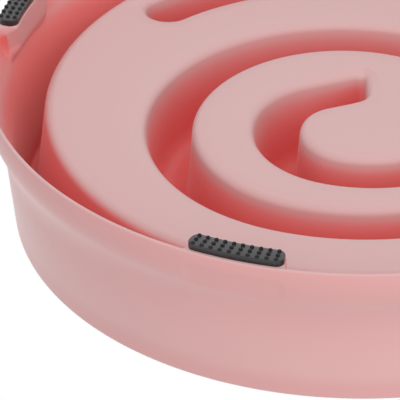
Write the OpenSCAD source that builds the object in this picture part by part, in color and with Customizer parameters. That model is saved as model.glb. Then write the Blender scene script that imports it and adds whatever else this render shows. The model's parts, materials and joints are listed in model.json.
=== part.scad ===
// Slow feeder bowl: one thin moulding with a hollow spiral ridge, on four rubber feet.
// Millimetres, +Z up. The feet stand on z = 0 and the bowl's axis is the Z axis.

/* [Skirt] */
// Diameter over the base edge of the skirt
base_d = 201.8; // [170:0.2:240]
// Height of the moulding, from its base edge to its mouth edge
bowl_h = 44.5; // [38:0.5:56]
// Wall thickness of the moulding
wall_t = 2.3; // [1.8:0.1:2.8]
// Lean of the skirt from upright, in degrees
skirt_lean = 6.7; // [3:0.1:9]
// Lean of the skirt at the steepest place of its flare, in degrees
flare_lean = 29.5; // [22:0.5:32]
// Radius of the hollow curve where the skirt starts to flare
flare_r = 30; // [20:1:40]
// Radius of the full curve below the flare
heel_r = 16; // [14:1:20]
// Radius of the same curve on the inside
heel_in_r = 14; // [8:1:15]
// Thickness of the base edge, to which the wall thins below the flare
edge_t = 1.2; // [1:0.1:1.6]
// Height of the rounding outside the base edge
edge_h = 3; // [2:0.1:4]
// Radius of that rounding
edge_r = 14; // [10:1:20]

/* [Tray] */
// Width of the mouth edge, from the skirt to the inside of the tray
mouth_w = 7.4; // [6.5:0.1:12]
// Radius of the mouth edge's outer corner
mouth_outer_r = 1.6; // [1:0.1:3]
// Radius of the mouth edge's inner corner
mouth_inner_r = 3; // [1:0.1:4]
// Lean of the tray's wall from upright, in degrees
tray_lean = 6; // [3:0.1:9]
// Height of the tray floor's underside above the base edge
floor_lift = 11.3; // [10.5:0.1:15]
// Radius where the tray's wall meets its floor, on the food side
tray_fillet_r = 3; // [1:0.1:5]
// Radius of the tray's outer corner, underneath
tray_corner_r = 3.2; // [1:0.1:4]

/* [Spiral ridge] */
// Height of the ridge above the tray floor
ridge_h = 24; // [16:0.5:26]
// Width of the hollow inside the ridge, at the tray floor's underside
hollow_w = 12.6; // [10:0.1:13.4]
// Lean of the ridge's two sides, in degrees
ridge_lean = 4; // [2:0.1:6]
// Radius where the ridge rises from the tray floor
ridge_fillet_r = 3; // [1:0.1:4]
// Radius of the hollow's rim, underneath
hollow_rim_r = 2.6; // [1:0.1:4]

/* [Rubber feet] */
// Length of a foot along its curve
foot_len = 25.6; // [20:0.2:32]
// Width of a foot across the base edge
foot_w = 5.4; // [5.2:0.1:6]
// Thickness of a foot's pad
pad_t = 2; // [1:0.05:3]
// Distance of a foot's outer side from the outside of the skirt
foot_inset = 1.3; // [1:0.1:1.8]
// Corner radius of a foot
foot_corner_r = 2.2; // [1:0.1:2.4]
// Diameter of a grip nub
nub_d = 1.3; // [0.8:0.1:1.6]
// Height of a grip nub
nub_h = 0.35; // [0.2:0.05:0.8]
// Diameter of a foot's two pegs
peg_d = 3; // [2:0.1:3.2]
// Length of the pegs
peg_len = 5; // [3:0.1:7]
// Distance between the two pegs of a foot
peg_gap = 15; // [10:0.5:16]

/* [Foot bosses] */
// Height of the boss that carries a foot
boss_h = 10; // [8:0.1:10.5]
// How far a boss reaches past each end of its foot
boss_end = 0.8; // [0.6:0.1:3]
// How far a boss reaches past the inner side of its foot
boss_side = 0.2; // [0:0.1:0.6]

/* [Hidden] */
$fn = 180;

// Counts
feet = 4;
nub_rows = 3;
nub_columns = 10;
steps = 5;

// Directions, in degrees: the spiral's seam, the turns past the seam at its two ends,
// and how far the wall across its inner end is turned from square
seam_turn = 0.8;
inner_end_turn = 41.6;
outer_end_turn = 59.9;
end_wall_turn = -20;

// The spiral: radii of its quarter turns, the first centre and the straight inner end,
// as shares of the tray floor's radius
quarter_shares = [0.2031, 0.2479, 0.3891, 0.4174, 0.564, 0.5475, 0.7304, 0.7504, 0.8781];
first_centre_shares = [0, -0.1459];
straight_share = 0.174;

// Shares of the widths that some roundings take
crest_share = 0.96;
gap_round_share = 0.35;

// Clearances: how far a cut runs past a face, how deep a joined piece is sunk,
// how far the straight end starts inside the first turn,
// and the step that the spiral's lengths are rounded to, so that its turns meet
overrun = 1;
sink = 0.05;
joint_lap = 0.4;
even_step = 0.01;

// Levels
base_z = pad_t + nub_h;
under_z = base_z + floor_lift;
floor_z = under_z + wall_t;
mouth_z = base_z + bowl_h;
crest_z = floor_z + ridge_h;

// Skirt: centres of its base edge's roundings and of its two curves, and its straight stretch
base_r = base_d / 2;
edge_c = [base_r - edge_r, base_z + edge_h];
edge_turn = asin((edge_h - edge_t / 2) / (edge_r - edge_t / 2));
lip_c = edge_c + (edge_r - edge_t / 2) * [cos(edge_turn), -sin(edge_turn)];
heel_c = [base_r - heel_r, base_z + edge_h];
flare_c = heel_c + (heel_r + flare_r) * [cos(flare_lean), sin(flare_lean)];
skirt_start = flare_c - flare_r * [cos(skirt_lean), sin(skirt_lean)];
mouth_r = skirt_start.x - (mouth_z - skirt_start.y) * tan(skirt_lean);
skirt_in_r = mouth_r - wall_t / cos(skirt_lean) + wall_t * tan(skirt_lean);
flare_end = flare_c - (flare_r + wall_t) * [cos(flare_lean), sin(flare_lean)];
heel_in = [lip_c.x - edge_t / 2, flare_end.y - (lip_c.x - edge_t / 2 - flare_end.x) / tan(flare_lean)];

// Tray: radius of its inside at the mouth, and of its underside at the floor and at the top
tray_mouth_r = mouth_r - mouth_w;
tray_r = tray_mouth_r + wall_t / cos(tray_lean) - (mouth_z - under_z) * tan(tray_lean);
tray_floor_r = tray_mouth_r - (mouth_z - floor_z) * tan(tray_lean);
tray_top_r = tray_r + (mouth_z - wall_t - under_z) * tan(tray_lean);
gap_round_r = gap_round_share * (skirt_in_r - tray_top_r);

// Ridge: half widths of the hollow and of the ridge at a height above the floor's underside
function hollow_half(h) = hollow_w / 2 - h * tan(ridge_lean);
function ridge_half(h) = hollow_half(h) + wall_t / cos(ridge_lean);
function full_round(half) = crest_share * half * tan((90 + ridge_lean) / 2);

// Spiral: radius, start and centre of each quarter turn, and length of the straight inner end
function even(l) = round(l / even_step) * even_step;
function turn_r(k) = even(tray_r * quarter_shares[k]);
function turn_from(k) = 90 + 90 * k;
function turn_c(k) = k == 0 ? [for (share = first_centre_shares) even(tray_r * share)]
    : turn_c(k - 1) - (turn_r(k) - turn_r(k - 1)) * [cos(turn_from(k)), sin(turn_from(k))];
last_turn = len(quarter_shares) - 1;
straight_l = even(tray_r * straight_share);

// Feet: the radii of a foot's sides and of its middle
foot_out_r = base_r - foot_inset;
foot_in_r = foot_out_r - foot_w;
foot_mid_r = (foot_out_r + foot_in_r) / 2;
boss_in_r = foot_in_r - boss_side;
nub_pitch_r = (foot_w - 2 * foot_edge()) / (nub_rows - 1);
nub_pitch_l = (foot_len - 2 * foot_edge()) / (nub_columns - 0.5);
function foot_edge() = nub_d;
function turn_of(l, r) = l / r * 180 / PI;

// Points of an arc
function arc(c, r, from, to, n = steps) =
    [for (i = [0:n]) let (a = from + (to - from) * i / n) c + r * [cos(a), sin(a)]];

// Points of the outline with corners [x, y, radius], each corner rounded by its radius
function rounded(p) = [for (i = [0:len(p) - 1])
    each corner(p[(i + len(p) - 1) % len(p)], p[i], p[(i + 1) % len(p)])];
function flat(p) = [p.x, p.y];
function unit(v) = v / norm(v);
function corner(a, b, c) = len(b) < 3 || b[2] == 0 ? [flat(b)]
    : let (u = unit(flat(a) - flat(b)), v = unit(flat(c) - flat(b)), half = acos(u * v) / 2,
        o = flat(b) + unit(u + v) * b[2] / sin(half),
        p = flat(b) + u * b[2] / tan(half) - o, q = flat(b) + v * b[2] / tan(half) - o,
        from = atan2(p.y, p.x), turn = atan2(p.x * q.y - p.y * q.x, p * q))
    arc(o, b[2], from, from + turn);

// Section of the shell: outside of the skirt, mouth, tray, floor, underside, inside of the skirt
function shell_section() = rounded(concat(
    arc(lip_c, edge_t / 2, -180, -edge_turn),
    arc(edge_c, edge_r, -edge_turn, 0),
    arc(heel_c, heel_r, 0, flare_lean),
    arc(flare_c, flare_r, 180 + flare_lean, 180 + skirt_lean),
    [[mouth_r, mouth_z, mouth_outer_r],
     [tray_mouth_r, mouth_z, mouth_inner_r],
     [tray_floor_r, floor_z, tray_fillet_r],
     [0, floor_z],
     [0, under_z],
     [tray_r, under_z, tray_corner_r],
     [tray_top_r, mouth_z - wall_t, gap_round_r],
     [skirt_in_r, mouth_z - wall_t, gap_round_r]],
    arc(flare_c, flare_r + wall_t, 180 + skirt_lean, 180 + flare_lean),
    [[heel_in.x, heel_in.y, heel_in_r]]));

// Right half of the ridge's section, with its foot sunk into the floor, made smaller all round by less
function ridge_side(less) = let (w = ridge_half(wall_t) + ridge_fillet_r + overrun - less,
    top = ridge_half(crest_z - under_z) - less) [
    [w, (under_z + floor_z) / 2 + less],
    [w, floor_z - sink - less],
    [ridge_half(wall_t) - less, floor_z - sink - less, ridge_fillet_r],
    [top, crest_z - less, full_round(top)]];

// Right half of the hollow's section, with its rim run past the floor's underside, made smaller likewise
function hollow_side(less) = let (w = hollow_w / 2 + hollow_rim_r + overrun - less,
    top = hollow_half(crest_z - wall_t - under_z) - less) [
    [w, under_z - overrun + less],
    [w, under_z - sink - less],
    [hollow_w / 2 - less, under_z - sink - less, hollow_rim_r],
    [top, crest_z - wall_t - less, full_round(top)]];

function mirrored(p) = [for (i = [len(p) - 1:-1:0])
    concat([-p[i].x, p[i].y], len(p[i]) > 2 ? [p[i][2]] : [])];
function whole(side) = rounded(concat(side, mirrored(side)));
function half(side) = concat([[0, side[0].y]], [for (q = whole(side)) if (q.x > 0) q],
    [[0, side[len(side) - 1].y]]);

// A quarter turn of the spiral, less what reaches past its end
module quarter_turn(k, side, end_turn, before) {
    reach = turn_r(k) + side[0].x + overrun;
    difference() {
        rotate([0, 0, turn_from(k)]) rotate_extrude(angle = 90)
            translate([turn_r(k), 0]) polygon(whole(side));
        if (end_turn > 0)
            rotate([0, 0, turn_from(k) + end_turn]) translate([before ? 0 : -reach, before ? -reach : 0, 0])
                cube([before ? reach : 2 * reach, reach, crest_z + overrun]);
    }
}

// The straight inner end, from inside the first turn to a wall across it
module straight_end(side, wall) {
    reach = side[0].x + overrun;
    difference() {
        translate([0, joint_lap, 0]) rotate([90, 0, 0])
            linear_extrude(joint_lap + straight_l + wall + reach) polygon(whole(side));
        translate([0, -straight_l - wall, 0]) rotate([0, 0, end_wall_turn])
            translate([-2 * reach, -2 * reach, 0]) cube([4 * reach, 2 * reach, crest_z + overrun]);
    }
}

// A section carried along the spiral, seen from below, with a straight inner end and a round outer end
module along_spiral(side, end_side, wall) {
    for (k = [0:last_turn])
        translate(turn_c(k))
            quarter_turn(k, side, k == 0 ? inner_end_turn : k == last_turn ? outer_end_turn : 0, k == 0);
    translate(turn_c(0)) rotate([0, 0, turn_from(0) + inner_end_turn]) translate([turn_r(0), 0, 0])
        straight_end(end_side, wall);
    translate(turn_c(last_turn)) rotate([0, 0, turn_from(last_turn) + outer_end_turn])
        translate([turn_r(last_turn), 0, 0]) rotate_extrude() polygon(half(end_side));
}

// The spiral's place, seen from above
module spiral(side, end_side, wall)
    rotate([0, 0, seam_turn]) mirror([0, 1, 0]) along_spiral(side, end_side, wall);

// A solid slice of the base edge that carries one foot
module boss() {
    turn = turn_of(foot_len + 2 * boss_end, foot_mid_r);
    top = base_z + boss_h;
    top_a = asin((boss_h - edge_h) / (heel_r - edge_t / 2));
    rotate([0, 0, -turn / 2])
        rotate_extrude(angle = turn)
            polygon(concat([[boss_in_r, base_z], [lip_c.x, base_z]],
                arc(heel_c, heel_r - edge_t / 2, 0, top_a), [[boss_in_r, top]]));
}

// The two pegs of a foot, or their bores
module pegs(from, to)
    for (s = [-1, 1])
        rotate([0, 0, s * turn_of(peg_gap, foot_mid_r) / 2])
            translate([foot_mid_r, 0, from]) cylinder(d = peg_d, h = to - from);

module at_foot(k) rotate([0, 0, 360 / feet * k]) children();

module bowl() {
    color([0.85, 0.66, 0.66])
        difference() {
            union() {
                rotate_extrude() polygon(shell_section());
                spiral(ridge_side(0), ridge_side(sink), wall_t);
                for (k = [0:feet - 1]) at_foot(k) boss();
            }
            spiral(hollow_side(0), hollow_side(sink), 0);
            for (k = [0:feet - 1]) at_foot(k) pegs(base_z - overrun, base_z + peg_len);
        }
}

// A sector between two radii, as long as the given arc at the foot's middle
module sector(r_in, r_out, l) {
    turn = turn_of(l, foot_mid_r);
    rotate([0, 0, -turn / 2])
        rotate_extrude(angle = turn) translate([r_in, 0]) square([r_out - r_in, pad_t]);
}

// The pad with round corners, its pegs and its rows of nubs
module foot(k) {
    cr = foot_corner_r;
    color([0.22, 0.21, 0.21]) at_foot(k) {
        translate([0, 0, nub_h]) {
            sector(foot_in_r + cr, foot_out_r - cr, foot_len);
            sector(foot_in_r, foot_out_r, foot_len - 2 * cr);
            for (s = [-1, 1], r = [foot_in_r + cr, foot_out_r - cr])
                rotate([0, 0, s * turn_of(foot_len / 2 - cr, foot_mid_r)])
                    translate([r, 0, 0]) cylinder(r = cr, h = pad_t);
        }
        pegs(base_z - sink, base_z + peg_len);
        for (i = [0:nub_columns - 1], j = [0:nub_rows - 1])
            rotate([0, 0, turn_of(nub_pitch_l * (i - (nub_columns - 1) / 2 + (j - 1) / 4), foot_mid_r)])
                translate([foot_mid_r + nub_pitch_r * (j - 1), 0, 0])
                    cylinder(d = nub_d, h = nub_h + sink, $fn = 24);
    }
}

bowl();
foot(0);  // foot_1
foot(1);  // foot_2
foot(2);  // foot_3
foot(3);  // foot_4
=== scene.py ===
import json
from math import asin, atan2, cos, degrees, hypot, pi, radians, sin, sqrt, tan

import bmesh
import bpy
from mathutils import Matrix, Vector

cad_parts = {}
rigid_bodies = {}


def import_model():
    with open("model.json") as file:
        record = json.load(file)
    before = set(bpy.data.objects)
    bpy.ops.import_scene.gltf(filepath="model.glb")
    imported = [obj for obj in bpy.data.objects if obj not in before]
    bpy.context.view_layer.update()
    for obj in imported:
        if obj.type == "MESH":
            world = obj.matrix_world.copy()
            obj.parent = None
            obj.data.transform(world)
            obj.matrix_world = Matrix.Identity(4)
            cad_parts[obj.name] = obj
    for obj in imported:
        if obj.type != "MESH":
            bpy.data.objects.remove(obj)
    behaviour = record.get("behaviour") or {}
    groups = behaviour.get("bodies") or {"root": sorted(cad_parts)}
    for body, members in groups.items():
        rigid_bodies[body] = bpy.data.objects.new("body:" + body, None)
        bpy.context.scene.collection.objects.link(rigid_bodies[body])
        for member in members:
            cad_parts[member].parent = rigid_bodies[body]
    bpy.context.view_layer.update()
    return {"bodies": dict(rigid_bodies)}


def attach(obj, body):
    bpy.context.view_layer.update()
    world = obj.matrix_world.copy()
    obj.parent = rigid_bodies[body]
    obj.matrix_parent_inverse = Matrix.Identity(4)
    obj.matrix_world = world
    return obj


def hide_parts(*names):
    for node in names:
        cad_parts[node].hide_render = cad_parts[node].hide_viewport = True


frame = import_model()
scene = bpy.context.scene

# All shapes are made in millimetres and shrunk to metres when a mesh is finished
MM = 0.001


def way(turn):
    """The direction at an angle in degrees."""
    return Vector((cos(radians(turn)), sin(radians(turn))))


# Levels of the bowl, up from the tips of its feet
BASE_Z = 2.35
UNDER_Z = BASE_Z + 11.3
WALL = 2.3
FLOOR_Z = UNDER_Z + WALL
MOUTH_Z = BASE_Z + 44.5
CREST_Z = FLOOR_Z + 24

# Skirt and its thin base edge
BASE_R = 100.9
EDGE_T = 1.2
EDGE_H = 3.0
EDGE_R = 14.0
HEEL_R = 16.0
HEEL_IN_R = 14.0
FLARE_R = 30.0
FLARE_LEAN = 29.5
SKIRT_LEAN = 6.7

# Mouth and tray
MOUTH_W = 7.4
MOUTH_OUTER_R = 1.6
MOUTH_INNER_R = 3.0
TRAY_LEAN = 6.0
TRAY_FILLET_R = 3.0
TRAY_CORNER_R = 2.8

# Centres and ends of the arcs in the shell's section, as radius and height
EDGE = Vector((BASE_R - EDGE_R, BASE_Z + EDGE_H))
EDGE_TURN = degrees(asin((EDGE_H - EDGE_T / 2) / (EDGE_R - EDGE_T / 2)))
LIP = EDGE + (EDGE_R - EDGE_T / 2) * way(-EDGE_TURN)
LIP_IN_R = LIP.x - EDGE_T / 2
HEEL = Vector((BASE_R - HEEL_R, BASE_Z + EDGE_H))
FLARE = HEEL + (HEEL_R + FLARE_R) * way(FLARE_LEAN)
FLARE_END = FLARE - (FLARE_R + WALL) * way(FLARE_LEAN)
HEEL_IN_Z = FLARE_END.y - (LIP_IN_R - FLARE_END.x) / tan(radians(FLARE_LEAN))
SKIRT_START = FLARE - FLARE_R * way(SKIRT_LEAN)

# Radii where the skirt and the tray meet the levels
MOUTH_R = SKIRT_START.x - (MOUTH_Z - SKIRT_START.y) * tan(radians(SKIRT_LEAN))
SKIRT_IN_R = MOUTH_R - WALL / cos(radians(SKIRT_LEAN)) + WALL * tan(radians(SKIRT_LEAN))
TRAY_MOUTH_R = MOUTH_R - MOUTH_W
TRAY_R = TRAY_MOUTH_R + WALL / cos(radians(TRAY_LEAN)) - (MOUTH_Z - UNDER_Z) * tan(radians(TRAY_LEAN))
TRAY_FLOOR_R = TRAY_MOUTH_R - (MOUTH_Z - FLOOR_Z) * tan(radians(TRAY_LEAN))
TRAY_TOP_R = TRAY_R + (MOUTH_Z - WALL - UNDER_Z) * tan(radians(TRAY_LEAN))
GAP_ROUND = 0.35 * (SKIRT_IN_R - TRAY_TOP_R)

# Inner ends of the shell's food floor and underside, where the land beside the spiral begins
FLOOR_RING_R = 79.0
UNDER_RING_R = 81.1

# The spiral's quarter turns: their radii as shares of the tray's, where each starts and how far it goes,
# in degrees as seen from below, and their centres
QUARTER_SHARES = (0.2031, 0.2479, 0.3891, 0.4174, 0.564, 0.5475, 0.7304, 0.7504, 0.8781)
TURNS = len(QUARTER_SHARES)
INNER_END_TURN = 41.6
OUTER_END_TURN = 59.9
SEAM_TURN = 0.8
TURN_R = [round(TRAY_R * share, 2) for share in QUARTER_SHARES]
TURN_FROM = [90 + 90 * k for k in range(TURNS)]
TURN_BY = [90] * (TURNS - 1) + [OUTER_END_TURN]
TURN_C = [Vector((0, round(-0.1459 * TRAY_R, 2)))]
for k in range(1, TURNS):
    TURN_C.append(TURN_C[-1] - (TURN_R[k] - TURN_R[k - 1]) * way(TURN_FROM[k]))
TURN_FROM[0] += INNER_END_TURN
TURN_BY[0] -= INNER_END_TURN

# The hollow underneath and the ridge that it makes on the food side
HOLLOW_W = 12.6
STRAIGHT = 0.174 * TRAY_R - HOLLOW_W / 2
END_SKEW = 20.0
RIM_R = 2.6
RIDGE_LEAN = 4.0
RIDGE_FILLET_R = 3.0
CREST_SHARE = 0.96
ROUND_STEPS = 9
FLANK_STEPS = 6

# The land beside them: its fall towards the hollow in degrees, and from where to where it lies
# beside their middle line
LAND_SLOPE = 12.0
LAND_STEPS = 7
HOLLOW_NEAR = HOLLOW_W / 2 + RIM_R + 0.05
HOLLOW_REACH = 11.8
RIDGE_NEAR = 8.9
RIDGE_REACH = 11.6

# The inner end's wall: how square it is, and the radius of its corners
END_SQUARE = 5
HOLLOW_CORNER = HOLLOW_W / 2
RIDGE_CORNER = 8.5

# Bosses that carry the feet, and the sunk patch that shows outside each
FOOT_LEN = 25.6
FOOT_OUT_R = BASE_R - 1.3
FOOT_IN_R = FOOT_OUT_R - 5.4
FOOT_MID_R = (FOOT_OUT_R + FOOT_IN_R) / 2
BOSS_IN_R = FOOT_IN_R - 0.2
BOSS_H = 10.0
BOSS_HALF = degrees((FOOT_LEN / 2 + 0.8) / FOOT_MID_R)
BOSS_EDGE_R = 0.35
BOSS_TOP_R = 3.6
BOSS_TOP_FALL = 1.5
BOSS_BLEND = 2
BOSS_ROWS = 40
BOSS_END_COLUMNS = (-2.2, -1.8, -1.4, -1.0, -0.7, -0.45, -0.2, 0.05, 0.3)
MARK_FROM_Z = BASE_Z + 3.6
MARK_TO_Z = BASE_Z + 10.2
MARK_DEPTH = 0.35
MARK_EDGE = 1.3
MARK_END = 0.9

# Feet
FOOT_TURNS = (0, 90, 180, 270)
FOOT_CORNER_R = 2.2
FOOT_EDGE_R = 0.3
NUB_H = 0.55
NUB_ROWS = 3
NUB_COLUMNS = 10
NUB_PITCH_R = 1.95
NUB_PITCH_L = 2.44
NUB_ROWS_SHIFT = 0.2
NUB_DOME = [Vector(p) for p in ((0.57, NUB_H + 0.04), (0.55, 0.28), (0.46, 0.12), (0.27, 0.03), (0, 0))]

# Places closer than this are the same
CLOSE = 1e-4


# Paths in a section

def arc(centre, radius, start, end, steps):
    """Points of an arc, between two angles in degrees."""
    return [Vector((centre[0] + radius * cos(radians(start + (end - start) * i / steps)),
                    centre[1] + radius * sin(radians(start + (end - start) * i / steps))))
            for i in range(steps + 1)]


def rounded(points, steps=8):
    """A path through points (x, z, radius), with the corners that have a radius rounded."""
    path = [Vector(points[0][:2])]
    for before, here, after in zip(points, points[1:], points[2:]):
        corner = Vector(here[:2])
        if len(here) < 3:
            path.append(corner)
            continue
        radius = here[2]
        back = (Vector(before[:2]) - corner).normalized()
        onward = (Vector(after[:2]) - corner).normalized()
        half = back.angle(onward) / 2
        centre = corner + (back + onward).normalized() * radius / sin(half)
        start = corner + back * radius / tan(half) - centre
        end = corner + onward * radius / tan(half) - centre
        turn = atan2(start.x * end.y - start.y * end.x, start.dot(end))
        first = atan2(start.y, start.x)
        path += arc(centre, radius, degrees(first), degrees(first + turn), steps)
    path.append(Vector(points[-1][:2]))
    return path


def along(points, count):
    """The same path with evenly spaced points."""
    reach = [0.0]
    for here, after in zip(points, points[1:]):
        reach.append(reach[-1] + (after - here).length)
    path = []
    k = 0
    for i in range(count):
        place = reach[-1] * i / (count - 1)
        while k < len(points) - 2 and reach[k + 1] < place:
            k += 1
        share = (place - reach[k]) / (reach[k + 1] - reach[k])
        path.append(points[k].lerp(points[k + 1], share))
    return path


def flanked(points):
    """A rounded path up a flank, with even steps on the straight stretch between its two roundings."""
    path = rounded(points, ROUND_STEPS)
    lower, upper = path[:ROUND_STEPS + 2], path[ROUND_STEPS + 2:]
    return lower + [lower[-1].lerp(upper[0], i / FLANK_STEPS) for i in range(1, FLANK_STEPS)] + upper


# Meshes

def chain(bm, points, place):
    """A line of edges through a section's points, each put in space by place(x, z)."""
    verts = [bm.verts.new(place(p.x, p.y)) for p in points]
    edges = [bm.edges.new(pair) for pair in zip(verts, verts[1:])]
    return verts, edges


def made_since(bm, count):
    """The points made since the mesh had so many."""
    bm.verts.ensure_lookup_table()
    return [bm.verts[i] for i in range(count, len(bm.verts))]


def close_level(bm, z):
    """Closes the flat land between the open edges at one level."""
    open_edges = [e for e in bm.edges if e.is_boundary and all(abs(v.co.z - z) < 1e-3 for v in e.verts)]
    bmesh.ops.triangle_fill(bm, edges=open_edges, use_beauty=True, normal=(0, 0, 1))


def finished(bm, name, material):
    """The object of a finished mesh, with its faces pointing outwards."""
    bmesh.ops.remove_doubles(bm, verts=bm.verts, dist=0.002)
    bmesh.ops.dissolve_degenerate(bm, edges=bm.edges, dist=0.0005)
    bmesh.ops.recalc_face_normals(bm, faces=bm.faces)
    bmesh.ops.scale(bm, vec=(MM, MM, MM), verts=bm.verts)
    for face in bm.faces:
        face.smooth = True
    mesh = bpy.data.meshes.new(name)
    bm.to_mesh(mesh)
    bm.free()
    mesh.materials.append(material)
    obj = bpy.data.objects.new(name, mesh)
    scene.collection.objects.link(obj)
    return obj


# Sections of the hollow and the ridge

def hollow_half(z):
    """Half of the hollow's width at a level."""
    return HOLLOW_W / 2 - (z - UNDER_Z) * tan(radians(RIDGE_LEAN))


def ridge_half(z):
    """Half of the ridge's width at a level."""
    return hollow_half(z) + WALL / cos(radians(RIDGE_LEAN))


def full_round(half):
    """The radius that makes a nearly full round of a crest."""
    return CREST_SHARE * half * tan(radians(90 + RIDGE_LEAN) / 2)


def hollow_section():
    """Half of the hollow, from the land beside it to the middle of its roof."""
    slope = tan(radians(LAND_SLOPE))
    rim = HOLLOW_W / 2 + RIM_R
    land = []
    for i in range(LAND_STEPS + 1):
        x = HOLLOW_REACH + (rim - HOLLOW_REACH) * i / LAND_STEPS
        land.append(Vector((x, UNDER_Z + slope / 2 / (HOLLOW_REACH - rim) * (HOLLOW_REACH - x) ** 2)))
    edge_z = land[-1].y + (land[-1].x - HOLLOW_W / 2) * slope
    roof_z = CREST_Z - WALL
    half = hollow_half(roof_z)
    return land[:-1] + flanked([land[-1], (hollow_half(edge_z), edge_z, RIM_R),
                                (half, roof_z, full_round(half)), (0, roof_z)])


def ridge_section():
    """Half of the ridge, from the floor beside it to the middle of its crest."""
    half = ridge_half(CREST_Z)
    return flanked([(RIDGE_REACH, FLOOR_Z), (ridge_half(FLOOR_Z), FLOOR_Z, RIDGE_FILLET_R),
                    (half, CREST_Z, full_round(half)), (0, CREST_Z)])


# The spiral

def keep_inside(verts, centre, radius, near, far, limit):
    """Draws the land beside the spiral in where it would run past the tray's edge."""
    for v in verts:
        out = Vector((v.co.x - centre[0], v.co.y - centre[1]))
        off = out.length - radius
        if abs(off) <= near or out.length < CLOSE:
            continue
        sign = 1 if off > 0 else -1
        side = out.normalized() * sign
        base = Vector(centre[:2]) + out.normalized() * (radius + near * sign)
        edge = base + side * (far - near)
        if edge.length <= limit:
            continue
        share = max(0.0, (limit - base.length) / (edge.length - base.length))
        place = base + side * (abs(off) - near) * share
        place *= min(1.0, limit / place.length)
        v.co.x, v.co.y = place.x, place.y


def square_up(verts, centre, ahead, reach, narrow):
    """Turns a round end into a nearly square one with round corners."""
    for v in verts:
        out = Vector((v.co.x - centre[0], v.co.y - centre[1]))
        far = out.length
        if far < CLOSE:
            continue
        turn = out.angle_signed(ahead)
        more = (abs(cos(turn)) ** END_SQUARE + abs(sin(turn)) ** END_SQUARE) ** (-1 / END_SQUARE) - 1
        moved = far * (1 + more) if far < reach else far + reach * more
        if far > narrow:
            moved -= (far - narrow) * 0.5 * abs(cos(turn))
        v.co.x, v.co.y = centre[0] + out.x / far * moved, centre[1] + out.y / far * moved


def half_turn(bm, edges, tip, out, angle, steps):
    """Spins the outer half of a section about its middle into an end, and gives the points made."""
    outer = [e for e in edges if all((Vector(v.co.xy) - tip).dot(out) > -CLOSE for v in e.verts)]
    corners = list({v for e in outer for v in e.verts})
    before = len(bm.verts)
    bmesh.ops.spin(bm, geom=outer + corners, cent=(tip.x, tip.y, 0), axis=(0, 0, 1), angle=angle, steps=steps)
    return made_since(bm, before)


def inner_end(bm, edges, start, out, near, reach, corner):
    """The straight inner end of a strip, with a nearly square, skewed wall across it."""
    ahead = Vector((-out.y, out.x))
    made = bmesh.ops.extrude_edge_only(bm, edges=edges)["geom"]
    far_verts = [g for g in made if isinstance(g, bmesh.types.BMVert)]
    far_edges = [g for g in made
                 if isinstance(g, bmesh.types.BMEdge) and all(v in far_verts for v in g.verts)]
    bmesh.ops.translate(bm, vec=(-ahead.x * STRAIGHT, -ahead.y * STRAIGHT, 0), verts=far_verts)
    tip = start - ahead * STRAIGHT
    cap = half_turn(bm, far_edges, tip, out, -pi, 44)
    square_up(cap, tip, -ahead, corner, near)
    for v in far_verts + cap:
        off = Vector(v.co.xy) - tip
        fade = min(1.0, max(0.0, (reach - off.length) / (reach - near)))
        more = tan(radians(END_SKEW)) * off.dot(out) * fade
        v.co.x -= ahead.x * more
        v.co.y -= ahead.y * more


def spiral_strip(half, near, reach, corner, limit):
    """A section carried along the spiral by spins, with a straight inner end and a round outer end."""
    bm = bmesh.new()
    section = [Vector((p.x, p.y)) for p in half] + [Vector((-p.x, p.y)) for p in reversed(half[:-1])]
    out = way(TURN_FROM[0])
    start = TURN_C[0] + out * TURN_R[0]
    verts, edges = chain(bm, section, lambda x, z: (start.x + out.x * x, start.y + out.y * x, z))
    inner_end(bm, edges, start, out, near, reach, corner)

    # The quarter turns, with finer steps on the wide ones
    last = verts + edges
    turned = []
    for centre, radius, turn in zip(TURN_C, TURN_R, TURN_BY):
        before = len(bm.verts)
        step = 3.0 if radius < 30 else 2.25
        last = bmesh.ops.spin(bm, geom=last, cent=(*centre, 0), axis=(0, 0, 1), angle=radians(turn),
                              steps=max(8, round(turn / step)))["geom_last"]
        turned.append(made_since(bm, before))

    out = way(TURN_FROM[-1] + TURN_BY[-1])
    tip = TURN_C[-1] + out * TURN_R[-1]
    cap = half_turn(bm, [g for g in last if isinstance(g, bmesh.types.BMEdge)], tip, out, pi, 36)
    keep_inside(cap, tip, 0, near, reach, limit)
    for verts, centre, radius in zip(turned, TURN_C, TURN_R):
        keep_inside(verts, centre, radius, near, reach, limit)
    bmesh.ops.remove_doubles(bm, verts=bm.verts, dist=0.004)

    # The spiral's place, seen from above
    place = Matrix.Rotation(radians(SEAM_TURN), 4, "Z") @ Matrix.Diagonal((1, -1, 1, 1))
    bmesh.ops.transform(bm, matrix=place, verts=bm.verts)
    return bm


# The shell

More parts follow.
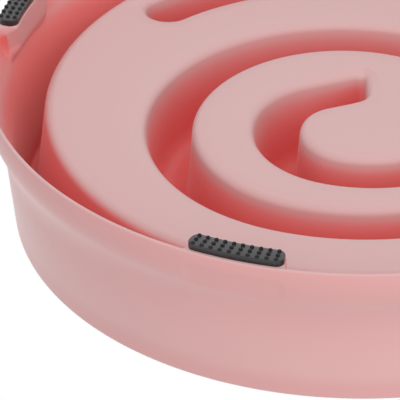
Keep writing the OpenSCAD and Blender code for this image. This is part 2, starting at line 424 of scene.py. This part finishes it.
def shell_rows():
    """The shell's section, from the food floor round the mouth, skirt and base edge to the underside,
    with the rows of it that turn into a foot's boss and their places there."""
    food = rounded([(FLOOR_RING_R, FLOOR_Z), (TRAY_FLOOR_R, FLOOR_Z, TRAY_FILLET_R),
                    (TRAY_MOUTH_R, MOUTH_Z, MOUTH_INNER_R), (MOUTH_R, MOUTH_Z, MOUTH_OUTER_R), SKIRT_START])
    flare = arc(FLARE, FLARE_R, 180 + SKIRT_LEAN, 180 + FLARE_LEAN, 12)
    heel = arc(HEEL, HEEL_R, FLARE_LEAN, 0, 10)
    edge = arc(EDGE, EDGE_R, 0, -EDGE_TURN, 4)
    lip = arc(LIP, EDGE_T / 2, -EDGE_TURN, -90, 5)

    inside = arc(LIP, EDGE_T / 2, -90, -180, 5)
    inside += rounded([(LIP_IN_R, LIP.y), (LIP_IN_R, HEEL_IN_Z, HEEL_IN_R), FLARE_END], 12)[1:-1]
    inside += arc(FLARE, FLARE_R + WALL, 180 + FLARE_LEAN, 180 + SKIRT_LEAN, 12)
    cut = max(i for i, p in enumerate(inside) if p.y < BASE_Z + BOSS_H + BOSS_BLEND)
    rows = along(inside[:cut + 1], BOSS_ROWS)
    boss = rounded([rows[0], (BOSS_IN_R, BASE_Z, BOSS_EDGE_R),
                    (BOSS_IN_R, BASE_Z + BOSS_H - BOSS_TOP_FALL, BOSS_TOP_R), rows[-1]], 6)

    gap_z = MOUTH_Z - WALL
    gap = rounded([inside[-1], (SKIRT_IN_R, gap_z, GAP_ROUND), (TRAY_TOP_R, gap_z, GAP_ROUND),
                   (TRAY_R, UNDER_Z, TRAY_CORNER_R), (UNDER_RING_R, UNDER_Z)], 10)
    outside = food[:-1] + flare + heel[1:] + edge[1:] + lip[1:-1]
    return outside + rows + inside[cut + 1:] + gap[1:], rows, along(boss, BOSS_ROWS)


def cut_columns(bm):
    """Columns of points at the ends of each boss, so that its end faces are crisp."""
    for turn in FOOT_TURNS[:2]:
        for side in (-1, 1):
            for step in BOSS_END_COLUMNS:
                angle = radians(turn + side * (BOSS_HALF + step))
                bmesh.ops.bisect_plane(bm, geom=bm.verts[:] + bm.edges[:] + bm.faces[:], dist=1e-5,
                                       plane_co=(0, 0, 0), plane_no=(-sin(angle), cos(angle), 0))


def on_mark(radius, z):
    """Whether a place is outside on the skirt's foot, at the height of the sunk patch."""
    if not MARK_FROM_Z < z < MARK_TO_Z:
        return False
    return radius > HEEL.x + sqrt(HEEL_R ** 2 - (z - HEEL.y) ** 2) - 0.5


def shape_bosses(bm, rows, boss):
    """Moves the rows inside the skirt to each boss, and sinks the patch that shows outside it."""
    top_z = rows[-1].y
    for v in bm.verts:
        radius = hypot(v.co.x, v.co.y)
        off = abs((degrees(atan2(v.co.y, v.co.x)) + 45) % 90 - 45)
        if off > BOSS_HALF + 0.5 or v.co.z > top_z + 2:
            continue
        if on_mark(radius, v.co.z):
            level = min(1.0, (v.co.z - MARK_FROM_Z) / MARK_EDGE, (MARK_TO_Z - v.co.z) / MARK_EDGE)
            level *= min(1.0, max(0.0, (BOSS_HALF - off) / MARK_END))
            size = 1 - MARK_DEPTH * level / radius
            v.co.x, v.co.y = v.co.x * size, v.co.y * size
            continue
        if v.co.z > top_z + 0.1 or radius > LIP.x + 0.05:
            continue
        near, k = min(((Vector((radius, v.co.z)) - p).length, i) for i, p in enumerate(rows))
        if near > 0.05:
            continue
        fade = 1.0 + 1.6 * min(1.0, max(0.0, (boss[k].y - BASE_Z - 0.5) / 6))
        share = min(1.0, max(0.0, (BOSS_HALF + 0.3 - off) / fade))
        place = rows[k].lerp(boss[k], share * share * (3 - 2 * share))
        size = place.x / radius
        v.co = Vector((v.co.x * size, v.co.y * size, place.y))


def bowl(material):
    """The whole moulding: the shell, the hollow underneath and the ridge on the food side."""
    section, rows, boss = shell_rows()
    bm = bmesh.new()
    verts, edges = chain(bm, section, lambda x, z: (x, 0, z))
    bmesh.ops.spin(bm, geom=verts + edges, cent=(0, 0, 0), axis=(0, 0, 1), angle=2 * pi, steps=240,
                   use_merge=True)
    cut_columns(bm)
    shape_bosses(bm, rows, boss)
    shell = bpy.data.meshes.new("shell")
    bm.to_mesh(shell)
    bm.free()

    bm = spiral_strip(hollow_section(), HOLLOW_NEAR, HOLLOW_REACH, HOLLOW_CORNER, UNDER_RING_R - 0.2)
    bm.from_mesh(shell)
    close_level(bm, UNDER_Z)
    below = bpy.data.meshes.new("below")
    bm.to_mesh(below)
    bm.free()

    bm = spiral_strip(ridge_section(), RIDGE_NEAR, RIDGE_REACH, RIDGE_CORNER, FLOOR_RING_R - 0.3)
    bm.from_mesh(below)
    close_level(bm, FLOOR_Z)
    for mesh in (shell, below):
        bpy.data.meshes.remove(mesh)
    return finished(bm, "bowl_moulding", material)


# Feet

def pad_block(bm):
    """The rubber pad, with round corners and a soft edge round its sole."""
    half = degrees(FOOT_LEN / 2 / FOOT_MID_R)
    start = way(-half)
    corners = ((FOOT_IN_R, NUB_H), (FOOT_OUT_R, NUB_H), (FOOT_OUT_R, BASE_Z), (FOOT_IN_R, BASE_Z))
    ring = [bm.verts.new((radius * start.x, radius * start.y, z)) for radius, z in corners]
    face = bm.faces.new(ring)
    bmesh.ops.spin(bm, geom=ring + list(face.edges) + [face], cent=(0, 0, 0), axis=(0, 0, 1),
                   angle=radians(2 * half), steps=8, use_duplicate=False)
    bmesh.ops.remove_doubles(bm, verts=bm.verts, dist=0.001)
    bmesh.ops.recalc_face_normals(bm, faces=bm.faces)
    ends = [e for e in bm.edges if abs(e.verts[0].co.z - e.verts[1].co.z) > (BASE_Z - NUB_H) / 2
            and all(abs(abs(degrees(atan2(v.co.y, v.co.x))) - half) < 0.01 for v in e.verts)]
    bmesh.ops.bevel(bm, geom=ends, offset=FOOT_CORNER_R, offset_type="OFFSET", segments=7, profile=0.5,
                    affect="EDGES", clamp_overlap=True, material=-1)
    rim = [e for e in bm.edges
           if len(e.link_faces) == 2 and all(abs(v.co.z - NUB_H) < CLOSE for v in e.verts)
           and abs(e.link_faces[0].normal.z - e.link_faces[1].normal.z) > 0.5]
    bmesh.ops.bevel(bm, geom=rim, offset=FOOT_EDGE_R, offset_type="OFFSET", segments=3, profile=0.5,
                    affect="EDGES", clamp_overlap=True, material=-1)


def nub(bm, x, y):
    """A small domed nub, sunk a little into the pad."""
    verts, edges = chain(bm, NUB_DOME, lambda off, z: (x + off, y, z))
    bmesh.ops.spin(bm, geom=verts + edges, cent=(x, y, 0), axis=(0, 0, 1), angle=2 * pi, steps=14,
                   use_merge=True)


def foot(name, turn, material):
    """A pad with its rows of nubs, turned to its place."""
    bm = bmesh.new()
    pad_block(bm)
    for column in range(NUB_COLUMNS):
        for row in range(NUB_ROWS):
            radius = FOOT_MID_R + NUB_ROWS_SHIFT + NUB_PITCH_R * (row - (NUB_ROWS - 1) / 2)
            angle = NUB_PITCH_L * (column - (NUB_COLUMNS - 1) / 2) / FOOT_MID_R
            nub(bm, radius * cos(angle), radius * sin(angle))
    bmesh.ops.rotate(bm, cent=(0, 0, 0), matrix=Matrix.Rotation(radians(turn), 3, "Z"), verts=bm.verts)
    return finished(bm, name, material)


# Shader nodes

def add(tree, kind, **settings):
    """A new shader node with its settings."""
    node = tree.nodes.new("ShaderNode" + kind)
    for name, value in settings.items():
        setattr(node, name, value)
    return node


def feed(tree, node, **inputs):
    """Gives a node's inputs, named with _ for a space, their numbers, colours or other nodes' outputs."""
    for name, value in inputs.items():
        socket = node.inputs[name.replace("_", " ")]
        if isinstance(value, bpy.types.NodeSocket):
            tree.links.new(value, socket)
        else:
            socket.default_value = value
    return node


def maths(tree, operation, first, second=None):
    """The result of a sum on one or two values, each a number or an output."""
    node = add(tree, "Math", operation=operation)
    for socket, value in zip(node.inputs, (first, second)):
        if isinstance(value, bpy.types.NodeSocket):
            tree.links.new(value, socket)
        elif value is not None:
            socket.default_value = value
    return node.outputs[0]


def ramp(tree, value, start, end, low=0.0, high=1.0, kind="SMOOTHSTEP"):
    """A change from low to high while a value goes from start to end."""
    node = add(tree, "MapRange", interpolation_type=kind)
    feed(tree, node, Value=value, From_Min=start, From_Max=end, To_Min=low, To_Max=high)
    return node.outputs["Result"]


def band(tree, value, ends, low=0.0, high=1.0):
    """The same over a band given in millimetres."""
    return ramp(tree, value, ends[0] * MM, ends[1] * MM, low, high)


def mixed(tree, share, first, second):
    """A colour between two."""
    return feed(tree, add(tree, "Mix", data_type="RGBA"), Factor=share, A=first, B=second).outputs["Result"]


def upward(tree, vector):
    """How far a place or a direction goes up."""
    apart = add(tree, "SeparateXYZ")
    tree.links.new(vector, apart.inputs[0])
    return apart.outputs["Z"]


def source(tree, name):
    """The output that feeds one of the shader's inputs."""
    return tree.nodes["Principled BSDF"].inputs[name].links[0].from_socket


def new_group(name, outputs, **inputs):
    """A shader group with outputs and inputs that are numbers."""
    group = bpy.data.node_groups.new(name, "ShaderNodeTree")
    for title, value in inputs.items():
        socket = group.interface.new_socket(name=title, in_out="INPUT", socket_type="NodeSocketFloat")
        socket.default_value = value
    for title in outputs:
        group.interface.new_socket(name=title, in_out="OUTPUT", socket_type="NodeSocketFloat")
    return group


# Materials

def grain_group():
    """Fine grain of a moulded surface: a height and a small change of shade."""
    tree = new_group("moulded_grain", ("Height", "Cloud"), Fine=900.0, Coarse=18.0)
    place = add(tree, "TexCoord").outputs["Object"]
    scales = tree.nodes.new("NodeGroupInput").outputs
    fine = feed(tree, add(tree, "TexNoise"), Vector=place, Scale=scales["Fine"], Detail=2.0)
    cloud = feed(tree, add(tree, "TexNoise"), Vector=place, Scale=scales["Coarse"], Detail=3.0)
    results = tree.nodes.new("NodeGroupOutput")
    feed(tree, results, Height=fine.outputs["Fac"], Cloud=cloud.outputs["Fac"])
    return tree


# Bands over which the painted recess shade in the plastic's colour changes, in millimetres: by radius, from
# the hollows to the tray's rim, from the tray to the skirt and from the bosses to the base edge
RIM_BAND = (79.0, 81.5)
SKIRT_BAND = (86.2, 89.0)
EDGE_BAND = (96.1, 97.2)

# And by height: down a hollow's wall, up to its roof, and up to and past the middle of the skirt's gap, where
# the painted shade is lighter
HOLLOW_BAND = (14.1, 19.8)
ROOF_BAND = (18.0, 26.0)
GAP_LOW_BAND = (10.0, 36.0)
GAP_HIGH_BAND = (38.0, 43.5)

# Heights between which the skirt's inside gets its painted deeper shade, at the bosses and at the base edge
OPEN_BELOW = 3.0
DEEP_AT_BOSS = 19.0
DEEP_AT_EDGE = 6.0


def recess_shade_group():
    """Painted shade: how deep a place lies inside a recess, from 0 in the open to 1 deep inside, judged by
    ambient occlusion, height and facing, and how far it lies in the middle of the gap between the skirt and
    the tray, where the painted shade is lighter."""
    tree = new_group("recess_painted_shade", ("Depth", "Gap"))
    coordinates = add(tree, "TexCoord")
    height = upward(tree, coordinates.outputs["Object"])
    facing = upward(tree, coordinates.outputs["Normal"])
    flat = add(tree, "VectorMath", operation="MULTIPLY")
    tree.links.new(coordinates.outputs["Object"], flat.inputs[0])
    flat.inputs[1].default_value = (1, 1, 0)
    length = add(tree, "VectorMath", operation="LENGTH")
    tree.links.new(flat.outputs["Vector"], length.inputs[0])
    radius = length.outputs["Value"]

    # How closed in a place is, from ambient occlusion, for the painted shade: out at the skirt it counts as
    # deep sooner
    skirt = band(tree, radius, SKIRT_BAND)
    shade = add(tree, "AmbientOcclusion", samples=12, only_local=True)
    shade.inputs["Distance"].default_value = 30 * MM
    deep_from = ramp(tree, skirt, 0.0, 1.0, 0.25, 0.6)
    open_from = ramp(tree, skirt, 0.0, 1.0, 0.6, 0.95)
    closed_in = ramp(tree, shade.outputs["AO"], deep_from, open_from, 1.0, 0.0)

    # Roofs of the hollows get the painted shade too, and walls a little
    roof = maths(tree, "MULTIPLY", ramp(tree, facing, -0.6, -0.1, 1.0, 0.0), band(tree, height, ROOF_BAND))
    wall = ramp(tree, maths(tree, "ABSOLUTE", facing), 0.3, 0.9, 0.26, 0.0)

    # The base edge and the bosses stay free of the painted shade, and so do the first millimetres inside a
    # hollow
    deep_above = band(tree, radius, EDGE_BAND, DEEP_AT_BOSS * MM, DEEP_AT_EDGE * MM)
    off_edge = ramp(tree, height, OPEN_BELOW * MM, deep_above)
    past_rim = band(tree, radius, RIM_BAND, band(tree, height, HOLLOW_BAND))
    deep = maths(tree, "MULTIPLY", maths(tree, "MAXIMUM", closed_in, roof), off_edge)
    shade_amount = maths(tree, "MULTIPLY", maths(tree, "MAXIMUM", deep, wall), past_rim)

    middle = maths(tree, "MINIMUM", band(tree, height, GAP_LOW_BAND),
                   band(tree, height, GAP_HIGH_BAND, 1.0, 0.0))
    results = tree.nodes.new("NodeGroupOutput")
    feed(tree, results, Depth=shade_amount, Gap=maths(tree, "MULTIPLY", skirt, middle))
    return tree


def grained(name, group, base, dark, rough, bump, fine, coarse):
    """A material with a fine grain, slightly cloudy in its colour and roughness."""
    material = bpy.data.materials.new(name)
    material.use_nodes = True
    tree = material.node_tree
    shader = tree.nodes["Principled BSDF"]
    grain = feed(tree, add(tree, "Group", node_tree=group), Fine=fine, Coarse=coarse)
    cloud = grain.outputs["Cloud"]
    relief = feed(tree, add(tree, "Bump"), Strength=bump, Distance=0.1 * MM, Height=grain.outputs["Height"])
    feed(tree, shader, Base_Color=mixed(tree, cloud, base, dark),
         Roughness=ramp(tree, cloud, 0.0, 1.0, *rough, kind="LINEAR"), Normal=relief.outputs["Normal"])
    return material


def pink_plastic(grain):
    """Pink plastic, with painted shade: its colour turns a deeper red inside its recesses, standing in for
    the shade and the light that passes from wall to wall there.
    """
    material = grained("pink_plastic", grain, base=(0.735, 0.46, 0.455, 1), dark=(0.725, 0.45, 0.445, 1),
                       rough=(0.44, 0.48), bump=0.05, fine=1600.0, coarse=14.0)
    tree = material.node_tree
    # Painted shade: a deeper red mixed into the base colour in recesses, lighter in the middle of the skirt's
    # gap
    recess = add(tree, "Group", node_tree=recess_shade_group()).outputs
    deepest_painted_shade = mixed(tree, recess["Gap"], (0.885, 0.2, 0.19, 1), (0.97, 0.41, 0.385, 1))
    colour = mixed(tree, recess["Depth"], source(tree, "Base Color"), deepest_painted_shade)
    feed(tree, tree.nodes["Principled BSDF"], Base_Color=colour, Coat_Weight=0.3, Coat_Roughness=0.42,
         Sheen_Weight=0.2, Sheen_Roughness=0.35)
    return material


def black_rubber(grain):
    """Black rubber, with painted light: the sole is painted paler than the sides, standing in for its sheen,
    and the dull nubs are painted nearly black as shade.
    """
    material = grained("black_rubber", grain, base=(0.075, 0.069, 0.073, 1), dark=(0.05, 0.047, 0.049, 1),
                       rough=(0.16, 0.28), bump=0.1, fine=2200.0, coarse=60.0)
    tree = material.node_tree
    coordinates = add(tree, "TexCoord")
    # Painted shade on the nubs: their colour goes nearly black; their higher roughness is real
    on_nub = ramp(tree, upward(tree, coordinates.outputs["Object"]), (NUB_H - 0.01) * MM,
                  (NUB_H - 0.05) * MM, kind="LINEAR")
    # Painted light: faces that point down, the sole, keep the paler base colour, and the sides are painted
    # darker
    sole_painted_light = ramp(tree, upward(tree, coordinates.outputs["Normal"]), -0.5, -0.95, kind="LINEAR")
    side_painted_shade = mixed(tree, sole_painted_light, (0.034, 0.032, 0.034, 1), source(tree, "Base Color"))
    feed(tree, tree.nodes["Principled BSDF"], Base_Color=mixed(tree, on_nub, side_painted_shade, (0.006, 0.006, 0.006, 1)),
         Roughness=ramp(tree, on_nub, 0.0, 1.0, source(tree, "Roughness"), 0.7, kind="LINEAR"))
    tree.nodes["Principled BSDF"].inputs["Specular IOR Level"].default_value = 0.45
    return material


# Pieces
root = list(frame["bodies"])[0]
grain = grain_group()
plastic = pink_plastic(grain)
rubber = black_rubber(grain)
moulding = bowl(plastic)
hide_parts("bowl")
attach(moulding, root)
for k, turn in enumerate(FOOT_TURNS):
    pad = foot(f"foot_pad_{k + 1}", turn, rubber)
    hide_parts(f"foot_{k + 1}")
    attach(pad, root)


# The studio

def stage_floor():
    """A pale floor that the camera sees from above only, so that it can look up at the underside."""
    bm = bmesh.new()
    bmesh.ops.create_grid(bm, x_segments=1, y_segments=1, size=6.0)
    mesh = bpy.data.meshes.new("ground")
    bm.to_mesh(mesh)
    bm.free()
    material = bpy.data.materials.new("ground_pale")
    material.use_nodes = True
    tree = material.node_tree
    tree.nodes.remove(tree.nodes["Principled BSDF"])
    front = maths(tree, "SUBTRACT", 1.0, add(tree, "NewGeometry").outputs["Backfacing"])
    seen = maths(tree, "MULTIPLY", add(tree, "LightPath").outputs["Is Camera Ray"], front)
    pale = feed(tree, add(tree, "BsdfDiffuse"), Color=(0.82, 0.82, 0.82, 1))
    mix = add(tree, "MixShader")
    for socket, value in zip(mix.inputs, (seen, add(tree, "BsdfTransparent").outputs[0], pale.outputs[0])):
        tree.links.new(value, socket)
    tree.links.new(mix.outputs[0], tree.nodes["Material Output"].inputs["Surface"])
    mesh.materials.append(material)
    ground = bpy.data.objects.new("ground", mesh)
    scene.collection.objects.link(ground)


def studio_world():
    """White where it is seen or mirrored, and a softer light on everything else."""
    world = bpy.data.worlds.new("studio")
    scene.world = world
    world.use_nodes = True
    tree = world.node_tree
    path = add(tree, "LightPath").outputs
    mirrored = maths(tree, "MAXIMUM", path["Is Glossy Ray"], path["Is Transmission Ray"])
    seen = maths(tree, "MAXIMUM", path["Is Camera Ray"], mirrored)
    feed(tree, tree.nodes["Background"], Color=(1, 1, 1, 1),
         Strength=ramp(tree, seen, 0.0, 1.0, 0.5, 1.0, kind="LINEAR"))


def lamp(name, place, aim, size, power):
    """A square soft lamp that no mirror shows."""
    data = bpy.data.lights.new(name, "AREA")
    data.shape = "SQUARE"
    data.size = size
    data.energy = power
    obj = bpy.data.objects.new(name, data)
    obj.location = place
    obj.rotation_euler = (Vector(aim) - Vector(place)).to_track_quat("-Z", "Y").to_euler()
    obj.visible_glossy = False
    scene.collection.objects.link(obj)


# The photograph shows the bowl upside down, so the camera and the main lamps are below it.
# Their places are given as if the bowl lay there with its feet up.
FLIP = Matrix.Rotation(pi, 3, "X") @ Matrix.Rotation(radians(17.8), 3, "Z")
LIFT = Vector((0, 0, BASE_Z * MM))
CAMERA_PLACE = (0, -1.14502, 0.70361)
CAMERA_YAW = -0.036856
CAMERA_PITCH = 0.578129


def flipped(x, y, z):
    """A place beside the bowl that lies upside down, moved to the bowl that stands."""
    return FLIP @ Vector((x, y, z)) + LIFT


def long_camera():
    """A camera with a long lens, which looks at the feet and the spiral hollow underneath."""
    level = cos(CAMERA_PITCH)
    ahead = Vector((sin(CAMERA_YAW) * level, cos(CAMERA_YAW) * level, -sin(CAMERA_PITCH)))
    right = Vector((cos(CAMERA_YAW), -sin(CAMERA_YAW), 0))
    up = right.cross(ahead)
    turn = FLIP @ Matrix((right, up, -ahead)).transposed()
    data = bpy.data.cameras.new("camera")
    data.sensor_width = 36
    data.lens = 450
    data.clip_start = 0.05
    data.clip_end = 50
    camera = bpy.data.objects.new("camera", data)
    camera.matrix_world = Matrix.Translation(flipped(*CAMERA_PLACE)) @ turn.to_4x4()
    scene.collection.objects.link(camera)
    scene.camera = camera


stage_floor()
studio_world()
long_camera()
lamp("below_main", flipped(0.1, -1.15, 1.12), flipped(0, 0, 0), size=2.2, power=17.5)
lamp("below_back", flipped(0.1, 1.1, 1.1), flipped(0, 0, 0), size=1.6, power=3)
lamp("above_main", (-0.5, -0.7, 1.2), (0, 0, 0.02), size=1.4, power=6)
lamp("above_side", (0.9, 0.5, 0.8), (0, 0, 0.02), size=1.2, power=4)
scene.view_settings.view_transform = "Standard"
